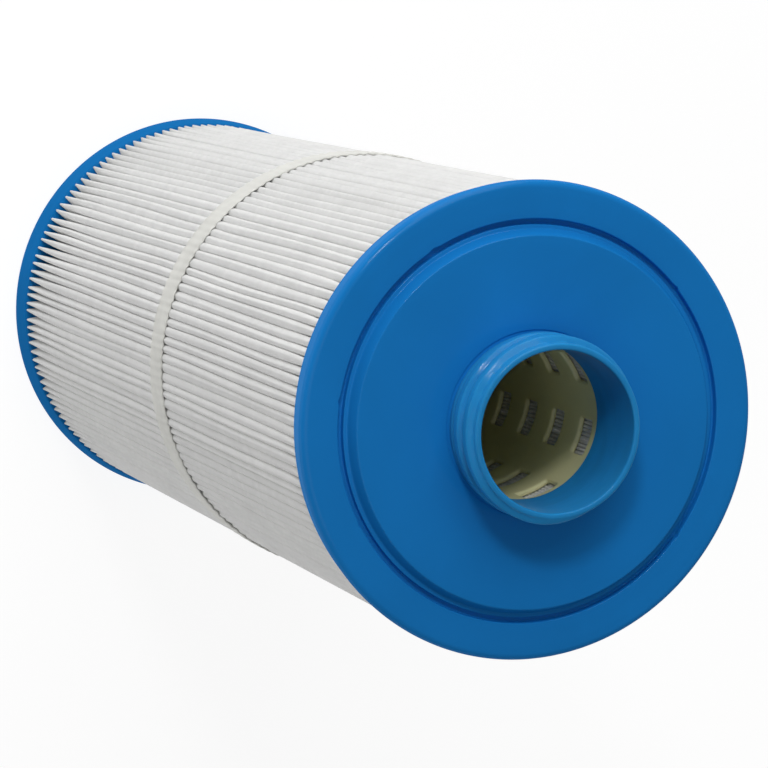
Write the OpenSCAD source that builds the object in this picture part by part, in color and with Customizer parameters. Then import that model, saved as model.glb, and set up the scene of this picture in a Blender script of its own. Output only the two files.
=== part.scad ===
// Threaded filter cartridge for a spa or a small pool, standing on its closed end.
// The origin is the centre of the closed end's outer face, and +Z runs to the threaded neck.

/* [Body] */
// Largest diameter of both end caps
cap_d = 125; // [100:1:160]
// Length from the closed cap's outer face to the open cap's outer ring
body_len = 296.1; // [200:0.1:420]
// Thickness of each cast cap at its ring
cap_t = 9.5; // [8:0.1:14]
// Rounding of each cap's outer edge
cap_edge_r = 2; // [1:0.1:3]
// How much each cap's rim tapers in towards the pleats, per side
cap_draft = 1.25; // [0.5:0.05:2.5]

/* [Open cap] */
// Diameter of the raised seating disc
disc_d = 97.1; // [90:0.1:98]
// Height of the seating disc over the cap's outer ring
disc_h = 2.9; // [1.5:0.1:5]
// Width of the slope that runs down from the disc's edge
slope_w = 1.4; // [0.8:0.1:2]
// Width of the flat ledge between the slope and the groove
ledge_w = 1.1; // [0.5:0.1:2]
// Depth of the ledge below the cap's outer ring
ledge_drop = 0.4; // [0.1:0.05:1]
// Width of the groove between the ledge and the outer ring
groove_w = 1.5; // [0.8:0.1:3]
// Depth of the groove below the cap's outer ring
groove_depth = 2.2; // [0.5:0.1:3]
// Depth of the small groove round the neck's foot
foot_groove_depth = 0.3; // [0.2:0.05:1]
// Clearance of the small groove's edge outside the thread's crest
foot_groove_clearance = 0.15; // [0.1:0.05:1]

/* [Threaded fitting] */
// Bore of the neck
neck_bore_d = 41.75; // [38:0.05:46]
// Wall of the neck at the thread's root
neck_wall = 1.625; // [1.2:0.025:3]
// Height of the neck over the seating disc
neck_h = 15.7; // [12:0.1:24]
// Radial step from the neck out to the collar at its foot
collar_step = 0.9; // [0.4:0.05:2]
// Height of the collar over the seating disc
collar_h = 1.2; // [0.5:0.1:2]
// Chamfer round the neck's lip
lip_chamfer = 0.4; // [0.2:0.05:0.7]
// Pitch of the coarse thread
thread_pitch = 6.35; // [5:0.05:8]
// Height of the thread over the neck
thread_h = 1.6; // [1:0.05:2.4]
// Width of the thread where it leaves the neck
thread_foot_w = 4.4; // [3:0.1:4.8]
// Width of the thread's crest
thread_crest_w = 1.6; // [1:0.1:2.6]
// Length of the thread in turns
thread_turns = 1.9; // [1.2:0.1:2.4]
// Height of the thread's middle over the seating disc where it starts
thread_start_h = 1.7; // [1.2:0.1:3]
// Direction round the neck at which the thread starts
thread_start_angle = 80; // [0:1:359]
// Outer diameter of the flange cast into the cap
fitting_flange_d = 76; // [60:0.5:90]
// Thickness of the flange cast into the cap
fitting_flange_t = 2.6; // [1.5:0.1:3.5]
// Wall of the socket that takes the core's end
socket_wall = 2.05; // [1.2:0.05:3]

/* [Core] */
// Outer diameter of the perforated core tube
core_od = 46.4; // [44:0.1:56]
// Wall of the core tube
core_wall = 1.5; // [1.4:0.1:2.2]
// Windows in each row round the core
windows_round = 7; // [5:1:8]
// Width of a window across the tube
window_w = 10.2; // [6:0.1:12]
// Height of a window along the tube
window_h = 8; // [5:0.1:12]
// Distance between rows of windows
window_pitch = 19; // [14:0.5:26]
// Plain length of tube above the first row
window_land = 4.75; // [4.75:0.05:12]
// Direction of the first window in each row
window_angle = 92.6; // [0:0.1:360]

/* [Pleated media] */
// Number of pleats
pleats = 143; // [90:1:160]
// How far the pleat tips stop inside the cap's edge
tip_setback = 1.5; // [1.3:0.05:4]
// Radial depth over which the sheet is doubled at an outer fold
outer_fold = 11; // [6:0.5:14]
// Radial depth over which the sheet is doubled at an inner fold
inner_fold = 14.5; // [8:0.5:16]
// Pleat gap that holds the bead joining the sheet's two ends
seam_gap = 35; // [0:1:89]
// Depth of the joining bead below the pleat tips, as a share of the gap
seam_from = 0.2; // [0.1:0.05:0.3]
// Depth at which the joining bead ends, as a share of the gap
seam_to = 0.7; // [0.5:0.05:0.9]

/* [Band] */
// Thickness of the band round the pleats
band_t = 1.3; // [0.8:0.05:1.4]
// Width of the band
band_w = 11.2; // [8:0.1:20]
// Distance from the closed cap's outer face to the middle of the band
band_z = 160.7; // [60:0.1:170]

/* [Grip insert] */
// Depth of the grip recess, from the closed cap's outer face
cup_depth = 24; // [16:0.5:30]
// Wall of the grip cup
cup_wall = 2; // [1.5:0.1:3]
// How far the cup and its bar stop above the closed cap's outer face
grip_setback = 0.6; // [0.4:0.1:1.5]
// Width of the grip bar
grip_w = 8; // [6:0.5:12]
// Height of the grip bar
grip_h = 9; // [6:0.5:12]
// Outer diameter of the flange cast into the closed cap
grip_flange_d = 62; // [54:0.5:90]
// Thickness of the flange cast into the closed cap
grip_flange_t = 2.5; // [1.5:0.1:3]
// Resin under the flange
grip_flange_z = 2.5; // [2:0.1:4]

/* [Fits] */
// Radial clearance of the core's end in the fitting's socket
socket_clearance = 0.15; // [0.1:0.05:0.4]
// Radial clearance of the grip cup inside the core
cup_clearance = 0.15; // [0.1:0.05:0.4]
// Radial clearance between the inner folds and the core
fold_clearance = 0.3; // [0.2:0.05:0.8]

/* [Hidden] */

$fn = 96;
// Facets of the largest rims
rim_fn = 180;
eps = 0.01;
// How far a cutting body runs past the face that it opens
over = 1;

cap_r = cap_d / 2;
core_r = core_od / 2;
core_bore_r = core_r - core_wall;

// Heights of the faces, from the closed end up
media_z0 = cap_t;
media_z1 = body_len - cap_t;
disc_z = body_len + disc_h;
neck_top = disc_z + neck_h;
groove_z = body_len - groove_depth;
ledge_z = body_len - ledge_drop;

// Threaded fitting
bore_r = neck_bore_d / 2;
neck_r = bore_r + neck_wall;
collar_r = neck_r + collar_step;
socket_r = core_r + socket_clearance;
skirt_r = socket_r + socket_wall;
fitting_flange_r = fitting_flange_d / 2;
// The flange lies a little below the middle between the disc's face and the pleats
fitting_flange_drop = 1.1;
fitting_flange_z = (media_z1 + disc_z - fitting_flange_t) / 2 - fitting_flange_drop;
thread_sink = 0.5;
thread_lift = 0.05;
crest_r = neck_r + thread_lift + thread_h;
foot_groove_r = max(crest_r, collar_r) + foot_groove_clearance;
thread_steps = 40;
// Share of the thread's length over which each of its ends fades out
thread_fade = 0.12;
// Share of its width that the thread keeps at its very ends
thread_end_width = 0.35;

// Grip insert
cup_r = core_bore_r - cup_clearance;
cup_bore_r = cup_r - cup_wall;
cup_top = cup_depth + cup_wall;
grip_flange_r = grip_flange_d / 2;
grip_flange_top = grip_flange_z + grip_flange_t;
bar_round = 2;

// The core stands on the grip flange and ends under the threaded fitting
core_z0 = grip_flange_top;
core_z1 = fitting_flange_z;
// Plain length of tube kept above the grip cup
window_foot_land = 1;
window_rows = floor((core_z1 - window_land - window_h - cup_top - window_foot_land) / window_pitch) + 1;
window_cut = 5;

// Pleats
tip_r = cap_r - tip_setback;
root_r = core_r + fold_clearance;
gap_r = root_r + inner_fold;
fold_r = tip_r - outer_fold;
pleat_step = 360 / pleats;

function polar(r, a) = [r * cos(a), r * sin(a)];
function between(p, q, s) = p + s * (q - p);
function ridge(r_tip, r_root) = [
    for (i = [0 : pleats - 1])
        each [polar(r_tip, i * pleat_step), polar(r_root, (i + 0.5) * pleat_step)]
];

// Body of revolution of a cap's rim, from z = 0 at its outer face to its inner face
module cap_rim() {
    rotate_extrude($fn = rim_fn) {
        polygon([[0, 0], [cap_r - cap_edge_r, 0], [cap_r - cap_edge_r, cap_edge_r],
                 [cap_r, cap_edge_r], [cap_r - cap_draft, cap_t], [0, cap_t]]);
        intersection() {
            translate([cap_r - cap_edge_r, cap_edge_r]) circle(cap_edge_r);
            translate([cap_r - cap_edge_r, 0]) square(cap_edge_r);
        }
    }
}

// Raised disc and the groove round it, drawn over the open cap's ring
module disc_profile() {
    disc_r = disc_d / 2;
    polygon([[0, groove_z], [disc_r + slope_w + ledge_w, groove_z], [disc_r + slope_w + ledge_w, ledge_z],
             [disc_r + slope_w, ledge_z], [disc_r, disc_z], [0, disc_z]]);
}

// Space that the threaded fitting fills inside the open cap
module fitting_space() {
    translate([0, 0, fitting_flange_z]) cylinder(r = fitting_flange_r, h = fitting_flange_t);
    translate([0, 0, fitting_flange_z]) cylinder(r = collar_r, h = disc_z + over - fitting_flange_z);
    translate([0, 0, media_z1 - over]) cylinder(r = skirt_r, h = fitting_flange_z + over + eps - media_z1);
}

module open_end_cap() {
    groove_r = disc_d / 2 + slope_w + ledge_w + groove_w;
    color([0.08, 0.39, 0.64])
    difference() {
        union() {
            difference() {
                translate([0, 0, body_len]) mirror([0, 0, 1]) cap_rim();
                translate([0, 0, groove_z]) cylinder(r = groove_r, h = groove_depth + over);
            }
            rotate_extrude($fn = rim_fn) disc_profile();
        }
        translate([0, 0, disc_z - foot_groove_depth])
            cylinder(r = foot_groove_r, h = foot_groove_depth + over);
        fitting_space();
    }
}

// One ring of the thread's section, at share s of its length
function thread_ring(s) =
    let (a = thread_start_angle + 360 * thread_turns * s,
         z = disc_z + thread_start_h + thread_pitch * thread_turns * s,
         full = min(1, s / thread_fade, (1 - s) / thread_fade),
         h = thread_h * sin(90 * full),
         width = thread_end_width + (1 - thread_end_width) * full,
         foot = thread_foot_w / 2 * width,
         crest = thread_crest_w / 2 * width,
         r = neck_r + thread_lift,
         shoulder = (foot + 2 * crest) / 3,
         section = [[neck_r - thread_sink, -foot], [r, -foot], [r + 0.7 * h, -shoulder], [r + h, -crest / 2],
                    [r + h, crest / 2], [r + 0.7 * h, shoulder], [r, foot], [neck_r - thread_sink, foot]])
    [for (p = section) [p[0] * cos(a), p[0] * sin(a), z + p[1]]];

module thread() {
    n = round(thread_steps * thread_turns);
    k = 8;
    points = [for (i = [0 : n]) each thread_ring(i / n)];
    sides = [
        for (i = [0 : n - 1], j = [0 : k - 1])
            let (a = i * k + j, b = i * k + (j + 1) % k)
            each [[a, b, a + k], [b, b + k, a + k]]
    ];
    near = [for (j = [k - 1 : -1 : 0]) j];
    far = [for (j = [0 : k - 1]) n * k + j];
    polyhedron(points, concat(sides, [near, far]));
}

module threaded_fitting() {
    color([0.16, 0.53, 0.78])
    union() {
        rotate_extrude($fn = rim_fn) polygon([
            [bore_r, fitting_flange_z], [socket_r, fitting_flange_z], [socket_r, media_z1],
            [skirt_r, media_z1], [skirt_r, fitting_flange_z], [fitting_flange_r, fitting_flange_z],
            [fitting_flange_r, fitting_flange_z + fitting_flange_t],
            [collar_r, fitting_flange_z + fitting_flange_t], [collar_r, disc_z + collar_h - collar_step / 2],
            [neck_r, disc_z + collar_h + collar_step / 2], [neck_r, neck_top - lip_chamfer],
            [neck_r - lip_chamfer, neck_top], [bore_r + lip_chamfer, neck_top],
            [bore_r, neck_top - lip_chamfer]
        ]);
        thread();
    }
}

module core_tube() {
    color([0.86, 0.84, 0.72])
    difference() {
        translate([0, 0, core_z0]) cylinder(r = core_r, h = core_z1 - core_z0);
        translate([0, 0, core_z0 - over]) cylinder(r = core_bore_r, h = core_z1 - core_z0 + 2 * over);
        for (row = [0 : window_rows - 1], i = [0 : windows_round - 1])
            rotate(window_angle + i * 360 / windows_round)
                translate([core_bore_r - window_cut, -window_w / 2,
                           core_z1 - window_land - window_h - row * window_pitch])
                    cube([core_wall + 2 * window_cut, window_w, window_h]);
    }
}

module pleated_media() {
    color([0.93, 0.93, 0.91])
    translate([0, 0, media_z0]) linear_extrude(media_z1 - media_z0) difference() {
        polygon(ridge(tip_r, gap_r));
        polygon(ridge(fold_r, root_r));
    }
}

// Bead that joins the sheet's two ends, filling part of one gap between two pleats
module media_seam() {
    tip_a = polar(tip_r, seam_gap * pleat_step);
    tip_b = polar(tip_r, (seam_gap + 1) * pleat_step);
    root = polar(gap_r, (seam_gap + 0.5) * pleat_step);
    color([0.85, 0.82, 0.66])
    translate([0, 0, media_z0]) linear_extrude(media_z1 - media_z0)
        polygon([between(tip_a, root, seam_from), between(tip_b, root, seam_from),
                 between(tip_b, root, seam_to), between(tip_a, root, seam_to)]);
}

module support_band() {
    color([0.95, 0.95, 0.89])
    translate([0, 0, band_z - band_w / 2]) difference() {
        cylinder(r = tip_r + band_t, h = band_w);
        translate([0, 0, -over]) cylinder(r = tip_r, h = band_w + 2 * over);
    }
}

// Space that the grip insert and the core's end fill inside the closed cap
module grip_space() {
    translate([0, 0, -over]) cylinder(r = cup_r, h = cap_t + 2 * over);
    translate([0, 0, grip_flange_z]) cylinder(r = grip_flange_r, h = grip_flange_t);
    translate([0, 0, grip_flange_z + eps]) cylinder(r = core_r, h = cap_t);
}

module closed_end_cap() {
    color([0.08, 0.39, 0.64])
    difference() {
        cap_rim();
        grip_space();
    }
}

// Bar across the grip cup, rounded along its lower edges
module grip_bar() {
    length = 2 * cup_bore_r + cup_wall;
    translate([-length / 2, 0, grip_setback]) rotate([90, 0, 90]) linear_extrude(length) {
        translate([-grip_w / 2, bar_round]) square([grip_w, grip_h - bar_round]);
        translate([-grip_w / 2 + bar_round, 0]) square([grip_w - 2 * bar_round, grip_h]);
        for (side = [-1, 1])
            translate([side * (grip_w / 2 - bar_round), bar_round]) circle(bar_round, $fn = 32);
    }
}

module grip_insert() {
    color([0.16, 0.53, 0.78])
    union() {
        difference() {
            union() {
                translate([0, 0, grip_setback]) cylinder(r = cup_r, h = cup_top - grip_setback);
                translate([0, 0, grip_flange_z]) cylinder(r = grip_flange_r, h = grip_flange_t);
            }
            translate([0, 0, grip_setback - over])
                cylinder(r = cup_bore_r, h = cup_depth + over - grip_setback);
        }
        grip_bar();
    }
}

threaded_fitting();
open_end_cap();
core_tube();
pleated_media();
media_seam();
support_band();
closed_end_cap();
grip_insert();
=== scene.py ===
import math
import random

import bmesh
import bpy
from mathutils import Matrix, Vector


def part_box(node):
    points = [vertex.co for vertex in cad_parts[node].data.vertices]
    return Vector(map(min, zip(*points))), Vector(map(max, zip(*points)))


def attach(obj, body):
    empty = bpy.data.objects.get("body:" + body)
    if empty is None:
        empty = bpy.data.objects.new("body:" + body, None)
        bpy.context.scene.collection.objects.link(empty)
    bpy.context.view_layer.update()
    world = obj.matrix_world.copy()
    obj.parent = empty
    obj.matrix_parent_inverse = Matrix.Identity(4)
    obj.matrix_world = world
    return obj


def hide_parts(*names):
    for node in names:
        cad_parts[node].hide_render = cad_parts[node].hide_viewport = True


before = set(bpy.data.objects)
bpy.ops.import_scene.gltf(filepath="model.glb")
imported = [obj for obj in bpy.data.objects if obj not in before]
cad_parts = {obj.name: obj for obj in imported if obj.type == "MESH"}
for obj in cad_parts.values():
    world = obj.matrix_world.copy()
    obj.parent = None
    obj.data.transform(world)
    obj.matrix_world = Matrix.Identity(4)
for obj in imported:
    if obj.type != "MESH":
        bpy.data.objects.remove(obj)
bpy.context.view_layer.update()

MM = 0.001
TAU = 2 * math.pi

# Places worked out from the CAD model's own boxes, in metres.
CAP_LOW, CAP_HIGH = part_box("closed_end_cap")
OPEN_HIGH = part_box("open_end_cap")[1]
FITTING_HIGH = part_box("threaded_fitting")[1]
CORE_LOW, CORE_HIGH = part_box("core_tube")
MEDIA_LOW, MEDIA_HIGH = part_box("pleated_media")
BAND_LOW, BAND_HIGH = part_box("support_band")
SEAM_LOW, SEAM_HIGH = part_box("media_seam")
GRIP_LOW, GRIP_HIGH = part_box("grip_insert")
CAP_R = CAP_HIGH.x
CORE_R = CORE_HIGH.x
TIP_R = MEDIA_HIGH.x
DISC_Z = OPEN_HIGH.z
NECK_TOP = FITTING_HIGH.z

# Sizes that the boxes don't give; they repeat the CAD model's own values.
PLEATS = 143
NECK_BORE_R = 20.875 * MM
NECK_R = 22.5 * MM
COLLAR_R = 23.4 * MM
COLLAR_H = 1.2 * MM
CAP_T = CAP_HIGH.z - CAP_LOW.z
RING_Z = 296.1 * MM
DISC_R = 48.55 * MM
SLOPE_W = 1.4 * MM
LEDGE_W = 1.1 * MM
GROOVE_W = 1.5 * MM
LEDGE_Z = RING_Z - 0.4 * MM
GROOVE_Z = RING_Z - 2.2 * MM
CAP_DRAFT = 1.25 * MM
FIT_GAP = 0.15 * MM
FLANGE_R = FITTING_HIGH.x
FLANGE_Z = CORE_HIGH.z
FLANGE_T = 2.6 * MM
SOCKET_R = CORE_R + FIT_GAP
SOCKET_WALL = 2.05 * MM
SKIRT_R = SOCKET_R + SOCKET_WALL
THREAD_PITCH = 6.35 * MM
THREAD_H = 1.65 * MM
THREAD_TURNS = 1.9
THREAD_START_Z = DISC_Z + 1.7 * MM
THREAD_START = math.radians(80)
CORE_WALL = 1.5 * MM
CUP_R = CORE_R - CORE_WALL - FIT_GAP
CUP_WALL = 2 * MM
CUP_BORE_R = CUP_R - CUP_WALL
CUP_DEPTH = 24 * MM
GRIP_FLANGE_Z = GRIP_LOW.z + 1.9 * MM
FOOT_GROOVE_R = 24.3 * MM
FOOT_GROOVE_DEPTH = 0.3 * MM
WINDOWS_ROUND = 7
WINDOW_W = 10.2 * MM
WINDOW_H = 8 * MM
WINDOW_PITCH = 19 * MM
WINDOW_LAND = 4.75 * MM
WINDOW_FOOT_LAND = 1 * MM
WINDOW_ANGLE = math.radians(92.6)

# Faces that meet at more than these angles, in degrees, keep a crisp edge
CAP_CREASE = 50
NECK_CREASE = 55
CORE_CREASE = 45
# Points round the axis: of the caps and the neck, and of the hidden cup
SEGMENTS = 360
CUP_SEGMENTS = 144


# ---------------------------------------------------------------- materials

# Linear colours
RESIN_BLUE = (0.01, 0.217, 0.62)
FITTING_BLUE = (0.02, 0.27, 0.63)
IVORY = (0.78, 0.755, 0.42)
MEDIA_WHITE = (0.84, 0.84, 0.83)
BAND_WHITE = (0.75, 0.75, 0.705)
GLUE_AMBER = (0.71, 0.65, 0.46)
FLOOR_GREY = (0.16, 0.16, 0.16)
FLOOR_GLOW = 0.9
# A dense thin coat: clear highlights, and little of the white floor at grazing angles
COAT_IOR = 2.2
COAT_ROUGHNESS = 0.12
# How far light soaks into plastic and cloth, in metres
SOAK_DEPTH = 0.002


def shade(color, share):
    """The same colour, lighter or darker by a share."""
    return tuple(min(1.0, channel * share) for channel in color)


def material(name, color, roughness, specular=0.5, coat=0.0, subsurface=0.0):
    """A principled material and its node tree, with the plain values set on the shader itself."""
    mat = bpy.data.materials.new(name)
    mat.use_nodes = True
    tree = mat.node_tree
    shader = tree.nodes["Principled BSDF"]
    shader.inputs["Base Color"].default_value = (*color, 1)
    shader.inputs["Roughness"].default_value = roughness
    shader.inputs["Specular IOR Level"].default_value = specular
    shader.inputs["Coat Weight"].default_value = coat
    shader.inputs["Coat IOR"].default_value = COAT_IOR
    shader.inputs["Coat Roughness"].default_value = COAT_ROUGHNESS
    shader.inputs["Subsurface Weight"].default_value = subsurface
    shader.inputs["Subsurface Radius"].default_value = (1, 1, 1)
    shader.inputs["Subsurface Scale"].default_value = SOAK_DEPTH
    return mat, tree, shader


def noise(tree, scale, detail=3.0, stretch=(1, 1, 1), distortion=0.0):
    """Noise over the object's own coordinates; a stretch below 1 draws it out along that axis."""
    place = tree.nodes.new("ShaderNodeTexCoord")
    mapping = tree.nodes.new("ShaderNodeMapping")
    mapping.inputs["Scale"].default_value = stretch
    tree.links.new(place.outputs["Object"], mapping.inputs["Vector"])
    texture = tree.nodes.new("ShaderNodeTexNoise")
    texture.inputs["Scale"].default_value = scale
    texture.inputs["Detail"].default_value = detail
    texture.inputs["Distortion"].default_value = distortion
    tree.links.new(mapping.outputs["Vector"], texture.inputs["Vector"])
    return texture.outputs["Fac"]


def ramp(tree, source, low, high, start=0.3, end=0.7):
    """A colour that runs from low to high as source goes from start to end."""
    node = tree.nodes.new("ShaderNodeValToRGB")
    node.color_ramp.elements[0].position = start
    node.color_ramp.elements[0].color = (*low, 1)
    node.color_ramp.elements[1].position = end
    node.color_ramp.elements[1].color = (*high, 1)
    tree.links.new(source, node.inputs["Fac"])
    return node.outputs["Color"]


def spread(tree, source, low, high):
    """source, from 0 to 1, mapped to a value from low to high."""
    node = tree.nodes.new("ShaderNodeMapRange")
    node.inputs["To Min"].default_value = low
    node.inputs["To Max"].default_value = high
    tree.links.new(source, node.inputs["Value"])
    return node.outputs["Result"]


def bump(tree, shader, layers):
    """Chains bump nodes; each layer is (height source, strength, depth in metres)."""
    normal = None
    for source, strength, depth in layers:
        node = tree.nodes.new("ShaderNodeBump")
        node.inputs["Strength"].default_value = strength
        node.inputs["Distance"].default_value = depth
        tree.links.new(source, node.inputs["Height"])
        if normal is not None:
            tree.links.new(normal, node.inputs["Normal"])
        normal = node.outputs["Normal"]
    tree.links.new(normal, shader.inputs["Normal"])


def cast_resin(name, color, gloss):
    """Satin blue cast polyurethane: faint clouding, a soft uneven skin and fine dust pits."""
    mat, tree, shader = material(name, color, 0.35, specular=0.0, coat=gloss)
    cloud = noise(tree, 28, 4, distortion=0.4)
    tint = ramp(tree, cloud, shade(color, 0.95), shade(color, 1.05))
    tree.links.new(tint, shader.inputs["Base Color"])
    smear = noise(tree, 160, 4)
    tree.links.new(spread(tree, smear, 0.28, 0.42), shader.inputs["Roughness"])
    skin = noise(tree, 45, 2)
    pits = noise(tree, 900, 2)
    bump(tree, shader, [(skin, 0.2, 0.5 * MM), (pits, 0.12, 0.08 * MM)])
    return mat


def fitting_plastic():
    """Light blue moulded plastic, a little translucent, with faint flow streaks."""
    mat, tree, shader = material(
        "fitting_plastic", FITTING_BLUE, 0.3, specular=0.02, coat=0.08, subsurface=0.1,
    )
    shader.inputs["Subsurface Radius"].default_value = (0.2, 0.6, 1.0)
    streak = noise(tree, 60, 3, stretch=(1, 1, 3), distortion=0.6)
    tint = ramp(tree, streak, shade(FITTING_BLUE, 0.92), shade(FITTING_BLUE, 1.06))
    tree.links.new(tint, shader.inputs["Base Color"])
    smear = noise(tree, 220, 3)
    tree.links.new(spread(tree, smear, 0.25, 0.38), shader.inputs["Roughness"])
    skin = noise(tree, 120, 3)
    grain = noise(tree, 1200, 2)
    bump(tree, shader, [(skin, 0.2, 0.3 * MM), (grain, 0.1, 0.05 * MM)])
    return mat


def core_plastic():
    """Ivory moulded plastic with a satin skin."""
    mat, tree, shader = material("core_plastic", IVORY, 0.45, specular=0.35)
    cloud = noise(tree, 35, 4)
    tint = ramp(tree, cloud, shade(IVORY, 0.93), shade(IVORY, 1.06))
    tree.links.new(tint, shader.inputs["Base Color"])
    smear = noise(tree, 180, 3)
    tree.links.new(spread(tree, smear, 0.38, 0.55), shader.inputs["Roughness"])
    draw_marks = noise(tree, 90, 3, stretch=(1, 1, 0.2))
    bump(tree, shader, [(draw_marks, 0.25, 0.4 * MM)])
    return mat


def filter_media():
    """White spunbonded polyester: matted fibres, thick and thin places, light that soaks through."""
    mat, tree, shader = material("filter_media", MEDIA_WHITE, 0.9, specular=0.2, subsurface=0.25)
    shader.inputs["Sheen Weight"].default_value = 0.1
    shader.inputs["Sheen Roughness"].default_value = 0.5
    patches = noise(tree, 90, 5, distortion=1.2)
    tint = ramp(tree, patches, shade(MEDIA_WHITE, 0.95), shade(MEDIA_WHITE, 1.03))
    tree.links.new(tint, shader.inputs["Base Color"])
    up = noise(tree, 1500, 3, stretch=(1, 1, 0.12), distortion=2.5)
    across = noise(tree, 1500, 3, stretch=(0.25, 0.25, 1), distortion=2.5)
    bump(tree, shader, [(patches, 0.3, 0.3 * MM), (up, 0.3, 0.1 * MM), (across, 0.3, 0.1 * MM)])
    return mat


def band_fabric():
    """Off-white polyester strip soaked with adhesive: smoother and slightly warmer than the media."""
    mat, tree, shader = material("band_fabric", BAND_WHITE, 0.6, specular=0.3, subsurface=0.2)
    patches = noise(tree, 120, 4, distortion=0.8)
    tint = ramp(tree, patches, shade(BAND_WHITE, 0.94), shade(BAND_WHITE, 1.04))
    tree.links.new(tint, shader.inputs["Base Color"])
    smear = noise(tree, 300, 3)
    tree.links.new(spread(tree, smear, 0.5, 0.75), shader.inputs["Roughness"])
    lumps = noise(tree, 260, 4)
    fibres = noise(tree, 1500, 2, distortion=2)
    bump(tree, shader, [(lumps, 0.35, 0.3 * MM), (fibres, 0.25, 0.1 * MM)])
    return mat


def seam_glue():
    """Set hot-melt adhesive: warm, glossy and a little translucent."""
    mat, tree, shader = material("seam_glue", GLUE_AMBER, 0.3, subsurface=0.3)
    cloud = noise(tree, 110, 3)
    tint = ramp(tree, cloud, shade(GLUE_AMBER, 0.9), shade(GLUE_AMBER, 1.08))
    tree.links.new(tint, shader.inputs["Base Color"])
    bump(tree, shader, [(noise(tree, 240, 3), 0.4, 0.4 * MM)])
    return mat


def floor_paint():
    """Plain white floor, lit evenly from within like a light table."""
    mat, tree, shader = material("floor_paint", FLOOR_GREY, 0.95, specular=0.0)
    shader.inputs["Emission Color"].default_value = (1, 1, 1, 1)
    shader.inputs["Emission Strength"].default_value = FLOOR_GLOW
    cloud = noise(tree, 3, 2)
    tint = ramp(tree, cloud, shade(FLOOR_GREY, 0.96875), shade(FLOOR_GREY, 1.03125))
    tree.links.new(tint, shader.inputs["Base Color"])
    return mat


# ---------------------------------------------------------------- mesh helpers

def mesh_piece(name, verts, faces, mat, node=None):
    """A smooth-shaded mesh object that rides on the cartridge and may stand for a CAD node."""
    mesh = bpy.data.meshes.new(name)
    mesh.from_pydata(verts, [], faces)
    mesh.validate()
    mesh.polygons.foreach_set("use_smooth", [True] * len(mesh.polygons))
    mesh.materials.append(mat)
    piece = bpy.data.objects.new(name, mesh)
    bpy.context.collection.objects.link(piece)
    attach(piece, "root")
    if node:
        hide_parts(node)
    return piece


def smooth_by_angle(piece, degrees):
    """Keeps crisp edges where two faces meet at more than this angle."""
    piece.data.set_sharp_from_angle(angle=math.radians(degrees))


def arc_corner(before, corner, after, radius, steps):
    """Points of a fillet of this radius at a corner of a profile."""
    a = (Vector(before) - Vector(corner)).normalized()
    b = (Vector(after) - Vector(corner)).normalized()
    half = a.angle(b) / 2
    reach = radius / math.tan(half)
    middle = Vector(corner) + (a + b).normalized() * (radius / math.sin(half))
    start = Vector(corner) + a * reach - middle
    end = Vector(corner) + b * reach - middle
    turn = start.angle(end)
    return [
        tuple(middle + (math.sin((1 - t) * turn) * start + math.sin(t * turn) * end) / math.sin(turn))
        for t in (i / steps for i in range(steps + 1))
    ]


def rounded(profile, steps=5):
    """A closed profile of (r, z, fillet radius) corners as dense (r, z) points."""
    points = []
    count = len(profile)
    for i, (r, z, radius) in enumerate(profile):
        if radius:
            before, after = profile[i - 1][:2], profile[(i + 1) % count][:2]
            points += arc_corner(before, (r, z), after, radius, steps)
        else:
            points.append((r, z))
    return points


def divided(points, longest):
    """The closed profile with its long stretches cut into steps no longer than longest."""
    dense = []
    for p, q in zip(points, points[1:] + points[:1]):
        pieces = max(1, math.ceil(math.dist(p, q) / longest))
        dense += [tuple(p[k] + (q[k] - p[k]) * i / pieces for k in (0, 1)) for i in range(pieces)]
    return dense


def lathe(points, segments, shape=None):
    """Turns a closed profile about Z. shape(angle, r, z) may return a moved (r, z)."""
    verts, faces = [], []
    count = len(points)
    for s in range(segments):
        angle = TAU * s / segments
        for r, z in points:
            if shape:
                r, z = shape(angle, r, z)
            verts.append((r * math.cos(angle), r * math.sin(angle), z))
    for s in range(segments):
        here, there = s * count, (s + 1) % segments * count
        for i in range(count):
            j = (i + 1) % count
            faces.append((here + i, there + i, there + j, here + j))
    return verts, faces


def tube_faces(stations, ring):
    """Faces of a tube of this many rings of points, with both ends closed."""
    faces = []
    for i in range(stations - 1):
        for k in range(ring):
            a, b = i * ring + k, i * ring + (k + 1) % ring
            faces.append((a, b, b + ring, a + ring))
    faces.append(tuple(range(ring - 1, -1, -1)))
    faces.append(tuple((stations - 1) * ring + k for k in range(ring)))
    return faces


def around(angle, target):
    """Signed turn from target to angle, from -pi to pi."""
    return (angle - target + math.pi) % TAU - math.pi


def bell(x, width):
    """A smooth hump of height 1 at x = 0."""
    return math.exp(-(x / width) ** 2)


# ---------------------------------------------------------------- end caps

# The rim of both caps: height of its widest place, how far its face stands in, and the two fillets
RIM_BELLY_H = 2 * MM
RIM_STEP = 0.25 * MM
RIM_BELLY_FILLET = 3 * MM
RIM_FACE_FILLET = 1.9 * MM
# Longest stretch of a cap's profile between two points
CAP_STEP = 3 * MM
# Small flaws of the casting beside the groove: direction in degrees, width in degrees, depth
NICKS = [
    (231, 1.1, 0.45 * MM),
    (282, 0.8, 0.4 * MM),
    (73, 0.7, 0.4 * MM),
    (318, 0.7, 0.3 * MM),
    (150, 0.9, 0.35 * MM),
]
NICK_REACH = 0.6 * MM
# Height and width of the slight swell that the resin set with on the disc
SWELL_H = 0.06 * MM
SWELL_W = 12 * MM
# Ring step in the closed cap's outer face, which the photo doesn't show
STEP_OUTER_R = 48 * MM
STEP_INNER_R = 30 * MM
STEP_SLOPE = 0.6 * MM
STEP_DEPTH = 0.7 * MM
STEP_FILLET = 0.3 * MM


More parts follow.
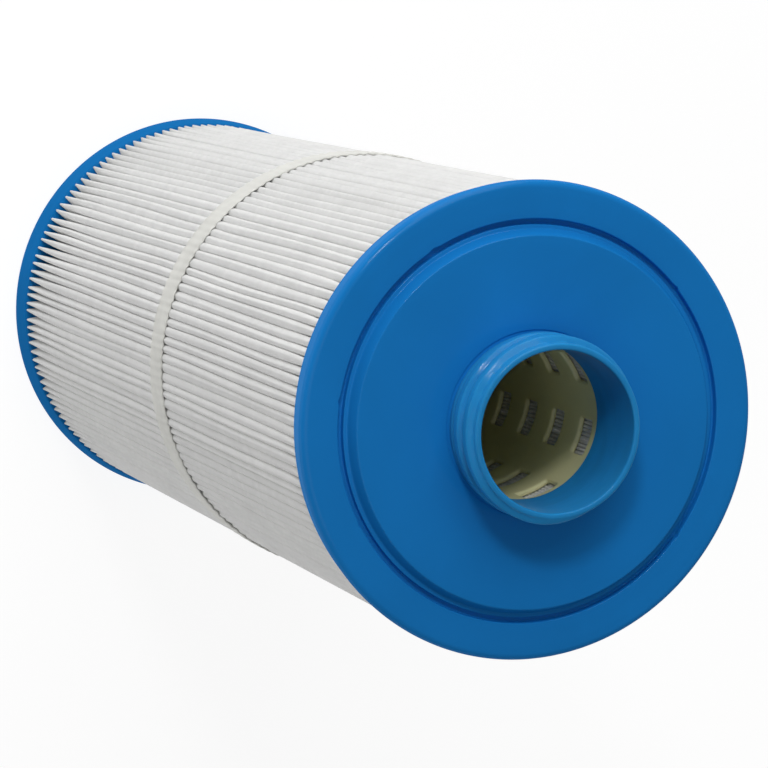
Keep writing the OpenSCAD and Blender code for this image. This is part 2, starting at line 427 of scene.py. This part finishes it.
def open_cap(mat):
    """Cast open cap: rounded ring, groove with casting nicks, ledge, slope and seating disc."""
    low = RING_Z - CAP_T
    ledge_end = DISC_R + SLOPE_W + LEDGE_W
    edge = ledge_end + GROOVE_W
    profile = [
        (CAP_R - CAP_DRAFT, low, 0.8 * MM),
        (CAP_R, RING_Z - RIM_BELLY_H, RIM_BELLY_FILLET),
        (CAP_R - RIM_STEP, RING_Z, RIM_FACE_FILLET),
        (edge, RING_Z, 0.35 * MM),
        (edge, GROOVE_Z, 0.3 * MM),
        (ledge_end, GROOVE_Z, 0.3 * MM),
        (ledge_end, LEDGE_Z, 0.22 * MM),
        (DISC_R + SLOPE_W, LEDGE_Z, 0.5 * MM),
        (DISC_R, DISC_Z, 0.5 * MM),
        (FOOT_GROOVE_R, DISC_Z, 0.15 * MM),
        (FOOT_GROOVE_R, DISC_Z - FOOT_GROOVE_DEPTH, 0),
        (COLLAR_R, DISC_Z - FOOT_GROOVE_DEPTH, 0),
        (COLLAR_R, FLANGE_Z + FLANGE_T, 0),
        (FLANGE_R, FLANGE_Z + FLANGE_T, 0),
        (FLANGE_R, FLANGE_Z, 0),
        (SKIRT_R, FLANGE_Z, 0),
        (SKIRT_R, low, 0),
    ]

    def flaws(angle, r, z):
        """Nicks in the groove's outer wall, and the disc's slight swell."""
        if z > GROOVE_Z + 0.2 * MM and r > edge - 0.4 * MM:
            for turn, width, depth in NICKS:
                bite = bell(around(angle, math.radians(turn)), math.radians(width))
                r += depth * bite * bell(r - edge, NICK_REACH)
        if z > RING_Z - 0.5 * MM:
            z += SWELL_H * math.sin(3 * angle + 0.7) * bell(r - DISC_R * 0.7, SWELL_W)
        return r, z

    verts, faces = lathe(divided(rounded(profile), CAP_STEP), SEGMENTS, flaws)
    piece = mesh_piece("open_cap_casting", verts, faces, mat, "open_end_cap")
    smooth_by_angle(piece, CAP_CREASE)


def closed_cap(mat):
    """Cast closed cap: rounded rim, a shallow ring step in its face and the hole for the grip cup."""
    profile = [
        (CUP_R, 0, 0.5 * MM),
        (CUP_R, GRIP_FLANGE_Z, 0),
        (GRIP_HIGH.x, GRIP_FLANGE_Z, 0),
        (GRIP_HIGH.x, CORE_LOW.z, 0),
        (CORE_R, CORE_LOW.z, 0),
        (CORE_R, CAP_T, 0),
        (CAP_R - CAP_DRAFT, CAP_T, 0.9 * MM),
        (CAP_R, RIM_BELLY_H, RIM_BELLY_FILLET),
        (CAP_R - RIM_STEP, 0, RIM_FACE_FILLET),
        (STEP_OUTER_R, 0, STEP_FILLET),
        (STEP_OUTER_R - STEP_SLOPE, STEP_DEPTH, STEP_FILLET),
        (STEP_INNER_R + STEP_SLOPE, STEP_DEPTH, STEP_FILLET),
        (STEP_INNER_R, 0, STEP_FILLET),
    ]
    verts, faces = lathe(divided(rounded(profile), CAP_STEP), SEGMENTS)
    piece = mesh_piece("closed_cap_casting", verts, faces, mat, "closed_end_cap")
    smooth_by_angle(piece, CAP_CREASE)


# ---------------------------------------------------------------- threaded neck

THREAD_HALF_W = 2.1 * MM
# Shares of a turn over which the thread rises out of the neck and sinks back
THREAD_RISE = 0.16
THREAD_FALL = 0.12
# Share of its half width that is flank, and how full the flank is
THREAD_FLANK = 0.4
THREAD_FULLNESS = 0.8
COLLAR_SLOPE = 0.45 * MM
# The neck's profile is this fine where the thread shows, and this many times coarser inside the cap
NECK_STEP = 0.25 * MM
HIDDEN_SKIP = 8


def thread_height(angle, z):
    """How far the thread stands out of the neck at this place."""
    share = ((angle - THREAD_START) % TAU) / TAU
    height = 0.0
    for turn in range(math.ceil(THREAD_TURNS)):
        along = share + turn
        if along > THREAD_TURNS:
            break
        fade = min(1.0, along / THREAD_RISE, (THREAD_TURNS - along) / THREAD_FALL)
        fade = math.sin(fade * math.pi / 2)
        off = abs(z - THREAD_START_Z - THREAD_PITCH * along) / THREAD_HALF_W
        if off < 1:
            crown = min(1.0, (1 - off) / THREAD_FLANK) ** THREAD_FULLNESS
            height = max(height, THREAD_H * fade * crown)
    return height


def threaded_neck(mat):
    """Moulded neck with its rounded coarse thread, lip, collar, flange and socket, in one skin."""
    profile = rounded([
        (NECK_BORE_R, FLANGE_Z, 0.2 * MM),
        (NECK_BORE_R, NECK_TOP, 0.5 * MM),
        (NECK_R, NECK_TOP, 0.6 * MM),
        (NECK_R, DISC_Z + COLLAR_H + COLLAR_SLOPE, 0.6 * MM),
        (COLLAR_R, DISC_Z + COLLAR_H - COLLAR_SLOPE, 0.4 * MM),
        (COLLAR_R, FLANGE_Z + FLANGE_T, 0),
        (FLANGE_R, FLANGE_Z + FLANGE_T, 0),
        (FLANGE_R, FLANGE_Z, 0),
        (SKIRT_R, FLANGE_Z, 0),
        (SKIRT_R, RING_Z - CAP_T, 0),
        (SOCKET_R, RING_Z - CAP_T, 0),
        (SOCKET_R, FLANGE_Z, 0),
    ], 4)

    def ridge(angle, r, z):
        """Raises the thread on the outside of the neck."""
        if r > NECK_R - 0.05 * MM and z > DISC_Z + 0.05 * MM and r < FLANGE_R - 1 * MM:
            r = max(r, NECK_R + thread_height(angle, z))
        return r, z

    kept = []
    for i, (r, z) in enumerate(divided(profile, NECK_STEP)):
        threaded = z > DISC_Z - 0.3 * MM and r > NECK_R - 0.1 * MM
        if threaded or i % HIDDEN_SKIP == 0 or (r, z) in profile:
            kept.append((r, z))

    verts, faces = lathe(kept, SEGMENTS, ridge)
    piece = mesh_piece("threaded_neck", verts, faces, mat, "threaded_fitting")
    smooth_by_angle(piece, NECK_CREASE)


# ---------------------------------------------------------------- pleats

# The cloth's thickness, the radius that its inner folds lie on, and how far out they reach
SHEET_T = 0.42 * MM
ROOT_R = CORE_R + 0.08 * MM
ROOT_DEPTH = 0.45 * MM
# Depths below its tip, in millimetres, at which each flank of a pleat has a point
FLANK_DEPTHS = [0.04, 0.15, 0.35, 0.7, 1.2, 1.8, 2.6, 3.8, 5.4, 7.2, 9.5, 16.0, 26.0]
# Heights above a cap, in millimetres, of the close sections; the stretch between has equal steps
NEAR_LEVELS = [0, 1.5, 3.5, 6.5, 10.5, 16, 23]
MIDDLE_STEPS = 26
# Next to a cap a pleat is a sharp wedge this deep; over this reach its flanks belly out and touch.
# At the open cap the wedge is weaker and ends sooner.
WEDGE_DEPTH = 8.5 * MM
BELLY_REACH = 16 * MM
OPEN_WEDGE = 0.4
OPEN_REACH = 0.3 * BELLY_REACH
BELLY_FULLNESS = 0.72
# Radius of the fold at a tip
FOLD_R = 0.32 * MM
# Distances from a cap and from the band at which a tip is free to lean, and to stand lower
LEAN_FROM_CAP = 25 * MM
LEAN_FROM_BAND = 30 * MM
DROP_FROM_CAP = 12 * MM
DROP_FROM_BAND = 16 * MM
# Least half width of a pleat's outer and inner skin
LEAST_OUTER = 0.04 * MM
LEAST_INNER = 0.02 * MM


class Pleat:
    """One pleat's own habits: where its tip stands, how it wanders along the axis, how full it is."""

    def __init__(self, index):
        self.middle = index * TAU / PLEATS
        self.base = random.gauss(0, 0.2) * MM
        self.swell = random.uniform(0.08, 0.42) * MM
        self.turns = random.uniform(0.7, 2.2)
        self.phase = random.uniform(0, TAU)
        self.drop = random.uniform(0, 0.45) * MM
        self.belly_depth = random.uniform(0.55, 1.3) * MM
        self.slit = random.uniform(0.01, 0.06) * MM

    def reach(self, z):
        """Distances from the nearer cap and from the band's middle."""
        from_cap = min(z - MEDIA_LOW.z, MEDIA_HIGH.z - z)
        from_band = abs(z - (BAND_LOW.z + BAND_HIGH.z) / 2)
        return from_cap, from_band

    def lean(self, z):
        """Sideways shift of the tip: steady at the caps, wandering further on, less under the band."""
        from_cap, from_band = self.reach(z)
        free = min(1.0, from_cap / LEAN_FROM_CAP) * min(1.0, 0.25 + from_band / LEAN_FROM_BAND)
        share = (z - MEDIA_LOW.z) / (MEDIA_HIGH.z - MEDIA_LOW.z)
        return self.base + self.swell * free * math.sin(TAU * self.turns * share + self.phase)

    def tip(self, z):
        """Radius of the tip: level at the caps and under the band, lower between them."""
        from_cap, from_band = self.reach(z)
        free = min(1.0, from_cap / DROP_FROM_CAP, from_band / DROP_FROM_BAND)
        return TIP_R - 0.05 * MM - self.drop * (0.2 + 0.8 * free)

    def half_width(self, depth, z, room):
        """Half the pleat's width at this depth; room is the most it may be."""
        wedge = max(
            math.exp((MEDIA_LOW.z - z) / BELLY_REACH),
            OPEN_WEDGE * math.exp((z - MEDIA_HIGH.z) / OPEN_REACH),
        )
        fold = FOLD_R * math.sqrt(1 - (1 - min(1.0, depth / FOLD_R)) ** 2)
        sharp = fold + (room - fold) * min(1.0, depth / WEDGE_DEPTH)
        swing = math.sin(min(1.0, depth / self.belly_depth) * math.pi / 2)
        belly = room * swing ** BELLY_FULLNESS
        return wedge * sharp + (1 - wedge) * belly


def folded_media(mat):
    """The pleated sheet, as one closed skin: a folded path with its two sides, drawn up the axis."""
    random.seed(7)
    pleats = [Pleat(i) for i in range(PLEATS)]
    height = MEDIA_HIGH.z - MEDIA_LOW.z
    far = height / MM
    first = NEAR_LEVELS[-1]
    between = [first + (far - 2 * first) * i / MIDDLE_STEPS for i in range(1, MIDDLE_STEPS)]
    levels = NEAR_LEVELS + between + [far - level for level in reversed(NEAR_LEVELS)]
    sections = [MEDIA_LOW.z + level * MM for level in levels]

    def section(z):
        """The upstream and the downstream outline at one height, point for point."""
        outer, inner = [], []
        leans = [pleat.lean(z) for pleat in pleats]

        def put(target, r, turn):
            target.append((r * math.cos(turn), r * math.sin(turn), z))

        for i, pleat in enumerate(pleats):
            tip = pleat.tip(z)
            # Half the difference in lean to the neighbour on each side gives or takes room there
            shift = {
                -1: (leans[i - 1] - leans[i]) / 2,
                1: (leans[(i + 1) % PLEATS] - leans[i]) / 2,
            }

            def flank(r, side):
                """Adds the flank's two skins at this radius, on side -1 or 1."""
                depth = tip - r
                bend = ((r - ROOT_R) / (TIP_R - ROOT_R)) ** 2
                half_pitch = math.pi * r / PLEATS
                room = half_pitch + side * shift[side] * bend - pleat.slit / 2
                wide = max(LEAST_OUTER, pleat.half_width(depth, z, room))
                thin = max(LEAST_INNER, wide - SHEET_T)
                centre = pleat.middle + leans[i] * bend / r
                put(outer, r, centre + side * wide / r)
                put(inner, r, centre + side * thin / r)

            flank(ROOT_R + ROOT_DEPTH, -1)
            for depth in reversed(FLANK_DEPTHS):
                flank(tip - depth * MM, -1)
            put(outer, tip, pleat.middle + leans[i] / tip)
            put(inner, tip - 0.1 * MM, pleat.middle + leans[i] / tip)
            for depth in FLANK_DEPTHS:
                flank(tip - depth * MM, 1)
            flank(ROOT_R + ROOT_DEPTH, 1)
            root = pleat.middle + math.pi / PLEATS
            put(outer, ROOT_R + SHEET_T, root)
            put(inner, ROOT_R, root)
        return outer, inner

    verts, faces = [], []
    for z in sections:
        outer, inner = section(z)
        verts += outer + inner
    count = len(outer)
    ring = 2 * count
    last = len(sections) - 1
    for s in range(last):
        low, high = s * ring, (s + 1) * ring
        for i in range(count):
            j = (i + 1) % count
            faces.append((low + i, low + j, high + j, high + i))
            faces.append((low + count + j, low + count + i, high + count + i, high + count + j))
    for base, upward in ((0, False), (last * ring, True)):
        for i in range(count):
            j = (i + 1) % count
            quad = (base + i, base + j, base + count + j, base + count + i)
            faces.append(quad[::-1] if upward else quad)
    piece = mesh_piece("folded_media", verts, faces, mat, "pleated_media")


# ---------------------------------------------------------------- band

BAND_T = 0.5 * MM
# How far the strip stands proud of the tips
BAND_PROUD = 0.32 * MM
BAND_STEP = 1.2 * MM
BAND_WANDER = 0.25 * MM
POINTS_PER_PLEAT = 6


def band_strip(mat):
    """The strip round the pleat tips: it dips between them, so its edges are scalloped."""
    random.seed(11)
    outer_r = TIP_R + BAND_PROUD
    middle_z = (BAND_LOW.z + BAND_HIGH.z) / 2
    half = (BAND_HIGH.z - BAND_LOW.z) / 2
    dips = [random.uniform(0.15, 0.38) * MM for _ in range(PLEATS)]
    frays = [random.uniform(0.02, 0.22) * MM for _ in range(PLEATS)]
    profile = rounded([
        (outer_r - BAND_T, middle_z - half, 0.2 * MM),
        (outer_r, middle_z - half, 0.3 * MM),
        (outer_r, middle_z + half, 0.3 * MM),
        (outer_r - BAND_T, middle_z + half, 0.2 * MM),
    ], 3)

    def drape(angle, r, z):
        """Dips and frays between the tips, most at the edges, and lets the middle wander."""
        place = angle / TAU * PLEATS
        index = int(place + 0.5) % PLEATS
        valley = 0.5 - 0.5 * math.cos(TAU * place)
        edge = abs(z - middle_z) / half
        dip = dips[index] * valley * (0.35 + 0.65 * edge ** 2)
        fray = frays[index] * valley * edge ** 6
        wander = BAND_WANDER * math.sin(2 * angle + 1.1)
        pull = fray if z > middle_z else -fray
        return r - dip, z - pull + wander * (1 - edge ** 8 * 0.999)

    verts, faces = lathe(divided(profile, BAND_STEP), PLEATS * POINTS_PER_PLEAT, drape)
    mesh_piece("band_strip", verts, faces, mat, "support_band")


# ---------------------------------------------------------------- grip, seam and core

# A profile that would reach the axis stops this far from it
AXIS_R = 0.01 * MM
CUP_STEP = 2.5 * MM
BAR_W = 4 * MM
BAR_H = 9 * MM
BAR_WAIST = 0.22
# Exponent of the bar's rounded-square section: 1 is round
BAR_ROUNDNESS = 0.55
# Depths below the tips between which the seam's glue lies, in millimetres, and its play at the caps
SEAM_TOP = 2.6
SEAM_BOTTOM = 7.5
SEAM_END_GAP = 0.5 * MM


def grip_cup(mat):
    """Moulded cup that closes the core's end, with its flange cast into the closed cap."""
    bottom = GRIP_LOW.z
    profile = [
        (AXIS_R, CUP_DEPTH, 0),
        (CUP_BORE_R, CUP_DEPTH, 2 * MM),
        (CUP_BORE_R, bottom, 0.6 * MM),
        (CUP_R, bottom, 0.4 * MM),
        (CUP_R, GRIP_FLANGE_Z, 0),
        (GRIP_HIGH.x, GRIP_FLANGE_Z, 0),
        (GRIP_HIGH.x, CORE_LOW.z, 0),
        (CUP_R, CORE_LOW.z, 0),
        (CUP_R, GRIP_HIGH.z, 1 * MM),
        (AXIS_R, GRIP_HIGH.z, 0),
    ]
    verts, faces = lathe(divided(rounded(profile), CUP_STEP), CUP_SEGMENTS)
    piece = mesh_piece("grip_cup", verts, faces, mat, "grip_insert")
    smooth_by_angle(piece, CAP_CREASE)


def grip_bar(mat):
    """Waisted bar across the cup, rounded so that it can be pinched."""
    half = CUP_BORE_R + CUP_WALL / 2
    middle_z = GRIP_LOW.z + BAR_H / 2
    stations, ring = 25, 32
    verts = []
    for i in range(stations):
        x = -half + 2 * half * i / (stations - 1)
        waist = 1 - BAR_WAIST * bell(x, 9 * MM)
        for k in range(ring):
            t = TAU * k / ring
            c, s = math.cos(t), math.sin(t)
            y = BAR_W * waist * math.copysign(abs(c) ** BAR_ROUNDNESS, c)
            z = middle_z + BAR_H / 2 * math.copysign(abs(s) ** BAR_ROUNDNESS, s)
            verts.append((x, y, z))
    mesh_piece("grip_bar", verts, tube_faces(stations, ring), mat)


def seam_bead(mat):
    """Wavy bead of set adhesive that closes the gap where the sheet's two ends meet."""
    random.seed(5)
    middle = (SEAM_LOW + SEAM_HIGH) / 2
    angle = math.atan2(middle.y, middle.x)
    step = TAU / PLEATS
    angle = (math.floor(angle / step) + 0.5) * step
    radial = Vector((math.cos(angle), math.sin(angle), 0))
    side = Vector((-math.sin(angle), math.cos(angle), 0))
    low, high = MEDIA_LOW.z + SEAM_END_GAP, MEDIA_HIGH.z - SEAM_END_GAP
    inner = TIP_R - SEAM_BOTTOM * MM
    stations, ring = 150, 14
    verts = []
    swell = 0.0
    for i in range(stations):
        z = low + (high - low) * i / (stations - 1)
        swell = 0.8 * swell + random.uniform(-0.1, 0.1)
        outer = TIP_R - (SEAM_TOP + 0.5 * swell) * MM
        for k in range(ring):
            t = TAU * k / ring
            r = (outer + inner) / 2 + (outer - inner) / 2 * math.cos(t)
            wide = (0.25 + 0.55 * (r - inner) / (outer - inner) + 0.08 * swell) * MM
            p = radial * r + side * (wide * math.sin(t))
            verts.append((p.x, p.y, z))
    mesh_piece("seam_bead", verts, tube_faces(stations, ring), mat, "media_seam")


def rounded_window(u, v, half_u, half_v, corner):
    """The point of a rounded rectangle that lies towards (u, v), a point on the unit square's edge."""
    x, y = u * half_u, v * half_v
    inner_x, inner_y = half_u - corner, half_v - corner
    over_x, over_y = abs(x) - inner_x, abs(y) - inner_y
    if over_x > 0 and over_y > 0:
        reach = corner / math.hypot(over_x, over_y)
        x = math.copysign(inner_x + over_x * reach, x)
        y = math.copysign(inner_y + over_y * reach, y)
    return x, y


# Angles round a window's rounded edge, from the tube's skin to the window's wall
EDGE_TURNS = [math.radians(degrees) for degrees in (22.5, 45, 67.5, 90)]
EDGE_R = 0.6 * MM
CORNER_R = 1.2 * MM
# Points along each side of a window's outline
SIDE_POINTS = 12
# Rings of points between a cell's border, 1, and its window's edge, 0
CELL_SHARES = (1, 0.66, 0.33, 0)
# Points closer than this are one, in metres
MERGE_DISTANCE = 1e-6


def perforated_core(mat):
    """Moulded core: a tube made of cells, each with a window whose corners and edges are rounded."""
    inner, outer = CORE_R - CORE_WALL, CORE_R
    steps = [-1 + 2 * i / SIDE_POINTS for i in range(SIDE_POINTS)]
    square = [(step, -1) for step in steps] + [(1, step) for step in steps]
    square += [(-u, -v) for u, v in square]
    count = len(square)
    spare = CORE_HIGH.z - WINDOW_LAND - WINDOW_H - GRIP_HIGH.z - WINDOW_FOOT_LAND
    rows = int(spare / WINDOW_PITCH) + 1
    half_u = math.pi / WINDOWS_ROUND
    verts, faces = [], []

    def ring(radius, points):
        for angle, z in points:
            verts.append((radius * math.cos(angle), radius * math.sin(angle), z))

    for row in range(rows):
        window_z = CORE_HIGH.z - WINDOW_LAND - WINDOW_H / 2 - row * WINDOW_PITCH
        high = CORE_HIGH.z if row == 0 else window_z + WINDOW_PITCH / 2
        low = CORE_LOW.z if row == rows - 1 else window_z - WINDOW_PITCH / 2
        for column in range(WINDOWS_ROUND):
            middle = WINDOW_ANGLE + 2 * half_u * column
            cell_z, cell_half = (low + high) / 2, (high - low) / 2
            cell = [(middle + u * half_u, cell_z + v * cell_half) for u, v in square]

            def window(grow):
                """The window's outline, as (angle, z), grown by this much on each side."""
                half_w, half_h = WINDOW_W / 2 + grow, WINDOW_H / 2 + grow
                shape = [rounded_window(u, v, half_w, half_h, CORNER_R) for u, v in square]
                return [(middle + x / CORE_R, window_z + y) for x, y in shape]

            def toward_cell(share):
                """The outline moved this share of the way to the cell's border."""
                return [
                    (a + (c - a) * share, z + (e - z) * share)
                    for (a, z), (c, e) in zip(window(EDGE_R), cell)
                ]

            base = len(verts)
            for share in CELL_SHARES:
                ring(inner, toward_cell(share))
            for turn in EDGE_TURNS:
                ring(inner + EDGE_R * (1 - math.cos(turn)), window(EDGE_R * (1 - math.sin(turn))))
            for turn in reversed(EDGE_TURNS):
                ring(outer - EDGE_R * (1 - math.cos(turn)), window(EDGE_R * (1 - math.sin(turn))))
            for share in reversed(CELL_SHARES):
                ring(outer, toward_cell(share))
            rings = 2 * len(CELL_SHARES) + 2 * len(EDGE_TURNS)
            for s in range(rings - 1):
                for i in range(count):
                    j = (i + 1) % count
                    here, there = base + s * count, base + (s + 1) * count
                    faces.append((here + i, here + j, there + j, there + i))
            last = base + (rings - 1) * count
            ends = []
            if row == rows - 1:
                ends += range(SIDE_POINTS)
            if row == 0:
                ends += range(2 * SIDE_POINTS, 3 * SIDE_POINTS)
            for i in ends:
                j = (i + 1) % count
                faces.append((base + j, base + i, last + i, last + j))
    piece = mesh_piece("perforated_core", verts, faces, mat, "core_tube")
    joined = bmesh.new()
    joined.from_mesh(piece.data)
    bmesh.ops.remove_doubles(joined, verts=joined.verts, dist=MERGE_DISTANCE)
    bmesh.ops.recalc_face_normals(joined, faces=joined.faces)
    joined.to_mesh(piece.data)
    joined.free()
    smooth_by_angle(piece, CORE_CREASE)


# ---------------------------------------------------------------- studio

CAMERA_AT = Vector((0, -0.3671, 1.1357))
CAMERA_AIM = Vector((0.0032, -0.0410, 0.2941))
CAMERA_ROLL = math.radians(109.9)
CAMERA_LENS = 166.7
# Soft lights: name, place, width in metres, power in watts. key lights the face, key_heart draws the
# highlights along edges and ledge, side_fill lifts the pleats, and top_fill lifts the disc's far side.
LIGHTS = [
    ("key", (-1.36, -0.6, 1.59), 1.3, 10.5),
    ("key_heart", (-1.0, -1.1, 1.75), 0.3, 9),
    ("side_fill", (-1.7, -0.6, 0.5), 1.2, 8.5),
    ("top_fill", (0.4, -0.5, 2.1), 1.4, 3.5),
]
LIGHTS_AIM = Vector((0, 0, 0.25))
WORLD_GLOW = 0.17
FLOOR_HALF = 6.0
# Just below the closed cap, so that the two faces don't flicker
FLOOR_Z = -0.2 * MM


def camera():
    """The photograph's view: from high on the neck's side, rolled so that the pleats lie leftwards."""
    data = bpy.data.cameras.new("camera")
    data.lens = CAMERA_LENS
    data.sensor_width = 36
    data.clip_start = 0.05
    data.clip_end = 20
    cam = bpy.data.objects.new("camera", data)
    forward = (CAMERA_AIM - CAMERA_AT).normalized()
    level = forward.cross(Vector((0, 0, 1))).normalized()
    over = level.cross(forward)
    right = level * math.cos(CAMERA_ROLL) + over * math.sin(CAMERA_ROLL)
    up = right.cross(forward)
    turn = Matrix((right, up, -forward)).transposed().to_4x4()
    cam.matrix_world = Matrix.Translation(CAMERA_AT) @ turn
    bpy.context.collection.objects.link(cam)
    bpy.context.scene.camera = cam


def area_light(name, at, size, power):
    """A soft square light that faces the cartridge."""
    data = bpy.data.lights.new(name, "AREA")
    data.size = size
    data.energy = power
    lamp = bpy.data.objects.new(name, data)
    turn = (LIGHTS_AIM - Vector(at)).to_track_quat("-Z", "Y")
    lamp.matrix_world = Matrix.Translation(at) @ turn.to_matrix().to_4x4()
    bpy.context.collection.objects.link(lamp)


def studio():
    """White glowing floor, dim even surroundings and the four soft lights."""
    corners = [(-1, -1), (1, -1), (1, 1), (-1, 1)]
    verts = [(x * FLOOR_HALF, y * FLOOR_HALF, FLOOR_Z) for x, y in corners]
    mesh = bpy.data.meshes.new("floor")
    mesh.from_pydata(verts, [], [(0, 1, 2, 3)])
    mesh.materials.append(floor_paint())
    floor = bpy.data.objects.new("floor", mesh)
    bpy.context.collection.objects.link(floor)
    world = bpy.data.worlds.new("studio")
    bpy.context.scene.world = world
    world.use_nodes = True
    background = world.node_tree.nodes["Background"]
    background.inputs["Color"].default_value = (1, 1, 1, 1)
    background.inputs["Strength"].default_value = WORLD_GLOW
    for name, at, size, power in LIGHTS:
        area_light(name, at, size, power)
    bpy.context.scene.view_settings.view_transform = "Standard"


camera()
studio()
plastic = fitting_plastic()
open_cap(cast_resin("cast_resin", RESIN_BLUE, 0.07))
# The closed cap is the same resin as the open cap, painted 20 % darker as painted shade and given less
# coat, to offset the glowing floor's light on it
closed_cap(cast_resin("cast_resin_painted_shade", shade(RESIN_BLUE, 0.8), 0.015))
threaded_neck(plastic)
folded_media(filter_media())
band_strip(band_fabric())
grip_cup(plastic)
grip_bar(plastic)
seam_bead(seam_glue())
perforated_core(core_plastic())
